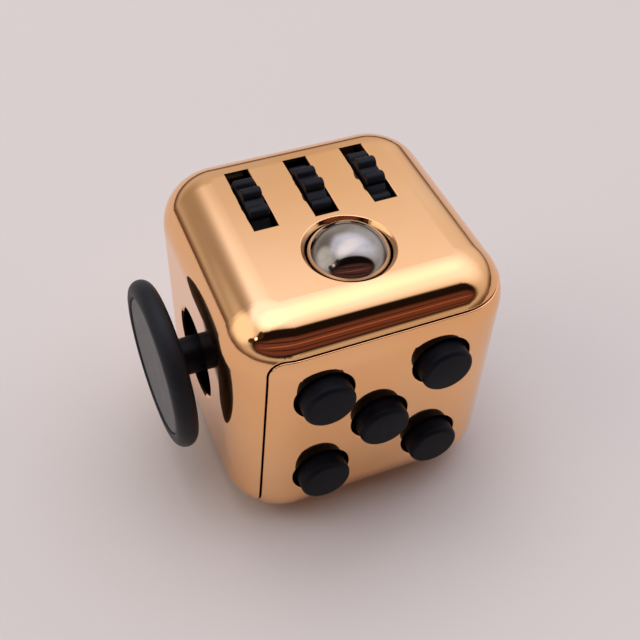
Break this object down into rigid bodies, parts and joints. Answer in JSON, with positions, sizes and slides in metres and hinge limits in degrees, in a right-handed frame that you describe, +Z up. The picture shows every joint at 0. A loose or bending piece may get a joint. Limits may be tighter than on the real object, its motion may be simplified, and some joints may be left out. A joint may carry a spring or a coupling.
{
  "type": "fidget cube",
  "caption": "Rounded plated desk cube with lobed thumb wheels and a rolling ball on top, press buttons, a thumb stick, a spin dial, a rocker and a thumb dish.",
  "frame": {"origin": "centre of the case's flat underside", "axes": "+Z up through the wheel and ball face, -Y out of the button face, -X out of the thumb-stick face"},
  "size_m": [0.0401, 0.0365, 0.0352],
  "materials": {
    "plated_case": "mirror-bright rose gold plating on moulded plastic",
    "black_plastic": "fine matt moulded",
    "black_rubber": "soft matt",
    "grey_pad": "fine grained matt",
    "grey_nylon": "natural matt",
    "silicone": "translucent soft",
    "ball_steel": "polished bearing ball",
    "bright_steel": "ground",
    "spring_steel": "drawn wire and strip",
    "screw_steel": "zinc plated"
  },
  "bodies": {
    "case": {"upper_shell": "plated_case", "lower_shell": "plated_case", "gear_carrier": "black_plastic", "gear_axle": "bright_steel", "gear_click_spring": "spring_steel", "carrier_screws": "screw_steel", "ball_spring": "spring_steel", "ball_click_dome": "spring_steel", "button_plate": "grey_nylon", "button_plate_screws": "screw_steel", "stick_bracket": "black_plastic", "stick_bracket_screws": "screw_steel", "stick_spring": "spring_steel", "rocker_pin": "bright_steel", "rocker_frame": "grey_nylon", "rocker_frame_screws": "screw_steel", "rocker_click_leaf": "spring_steel", "button_dome_top_left": "spring_steel", "button_pad_top_right": "silicone", "button_dome_centre": "spring_steel", "button_pad_bottom_left": "silicone", "button_dome_bottom_right": "spring_steel"},
    "wheel_left": {"gear_left": "black_plastic"},
    "wheel_middle": {"gear_middle": "black_plastic"},
    "wheel_right": {"gear_right": "black_plastic"},
    "ball_plunger": {"ball_cup": "grey_nylon"},
    "ball": {"steel_ball": "ball_steel"},
    "gimbal": {"gimbal_ring": "black_plastic", "gimbal_outer_pins": "bright_steel"},
    "stick": {"stick_cap": "black_rubber", "stick_insert": "grey_pad", "stick_stem": "black_plastic", "gimbal_inner_pin": "bright_steel"},
    "dial": {"spin_dial": "black_plastic", "dial_washer": "bright_steel", "dial_screw": "screw_steel"},
    "switch": {"rocker": "black_plastic"},
    "press_top_left": {"button_top_left": "black_rubber"},
    "press_top_right": {"button_top_right": "black_rubber"},
    "press_centre": {"button_centre": "black_rubber"},
    "press_bottom_left": {"button_bottom_left": "black_rubber"},
    "press_bottom_right": {"button_bottom_right": "black_rubber"}
  },
  "joints": [
    {"name": "wheel_left_spin", "type": "hinge", "parent": "case", "child": "wheel_left", "pos_m": [-0.0072, 0.00565, 0.0287], "axis": [1, 0, 0], "continuous": true},
    {"name": "wheel_middle_spin", "type": "hinge", "parent": "case", "child": "wheel_middle", "pos_m": [0, 0.00565, 0.0287], "axis": [1, 0, 0], "continuous": true, "deforming": ["gear_click_spring"]},
    {"name": "wheel_right_spin", "type": "hinge", "parent": "case", "child": "wheel_right", "pos_m": [0.0072, 0.00565, 0.0287], "axis": [1, 0, 0], "continuous": true},
    {"name": "ball_press", "type": "slide", "parent": "case", "child": "ball_plunger", "axis": [0, 0, -1], "range_m": [0, 0.0006], "stiffness_N_per_m": 600, "springref_m": -0.0006, "deforming": ["ball_spring", "ball_click_dome"]},
    {"name": "ball_roll", "type": "hinge", "parent": "ball_plunger", "child": "ball", "pos_m": [0, -0.0056, 0.02999], "axis": [1, 0, 0], "continuous": true},
    {"name": "button_top_left_press", "type": "slide", "parent": "case", "child": "press_top_left", "axis": [0, 1, 0], "range_m": [0, 0.0008], "stiffness_N_per_m": 500, "springref_m": -0.0004, "deforming": ["button_dome_top_left"]},
    {"name": "button_top_right_press", "type": "slide", "parent": "case", "child": "press_top_right", "axis": [0, 1, 0], "range_m": [0, 0.0008], "stiffness_N_per_m": 500, "springref_m": -0.0004, "deforming": ["button_pad_top_right"]},
    {"name": "button_centre_press", "type": "slide", "parent": "case", "child": "press_centre", "axis": [0, 1, 0], "range_m": [0, 0.0008], "stiffness_N_per_m": 500, "springref_m": -0.0004, "deforming": ["button_dome_centre"]},
    {"name": "button_bottom_left_press", "type": "slide", "parent": "case", "child": "press_bottom_left", "axis": [0, 1, 0], "range_m": [0, 0.0008], "stiffness_N_per_m": 500, "springref_m": -0.0004, "deforming": ["button_pad_bottom_left"]},
    {"name": "button_bottom_right_press", "type": "slide", "parent": "case", "child": "press_bottom_right", "axis": [0, 1, 0], "range_m": [0, 0.0008], "stiffness_N_per_m": 500, "springref_m": -0.0004, "deforming": ["button_dome_bottom_right"]},
    {"name": "stick_tilt_up_down", "type": "hinge", "parent": "case", "child": "gimbal", "pos_m": [-0.013, 0, 0.0165], "axis": [0, 1, 0], "range_deg": [-10, 10], "stiffness_Nm_per_rad": 0.02, "deforming": ["stick_spring"]},
    {"name": "stick_tilt_side", "type": "hinge", "parent": "gimbal", "child": "stick", "pos_m": [-0.013, 0, 0.0165], "axis": [0, 0, 1], "range_deg": [-10, 6], "stiffness_Nm_per_rad": 0.02},
    {"name": "dial_spin", "type": "hinge", "parent": "case", "child": "dial", "pos_m": [0.0165, 0, 0.0165], "axis": [1, 0, 0], "continuous": true},
    {"name": "rocker_tip", "type": "hinge", "parent": "case", "child": "switch", "pos_m": [0, 0.014, 0.0165], "axis": [1, 0, 0], "range_deg": [-24, 0], "deforming": ["rocker_click_leaf"]}
  ]
}
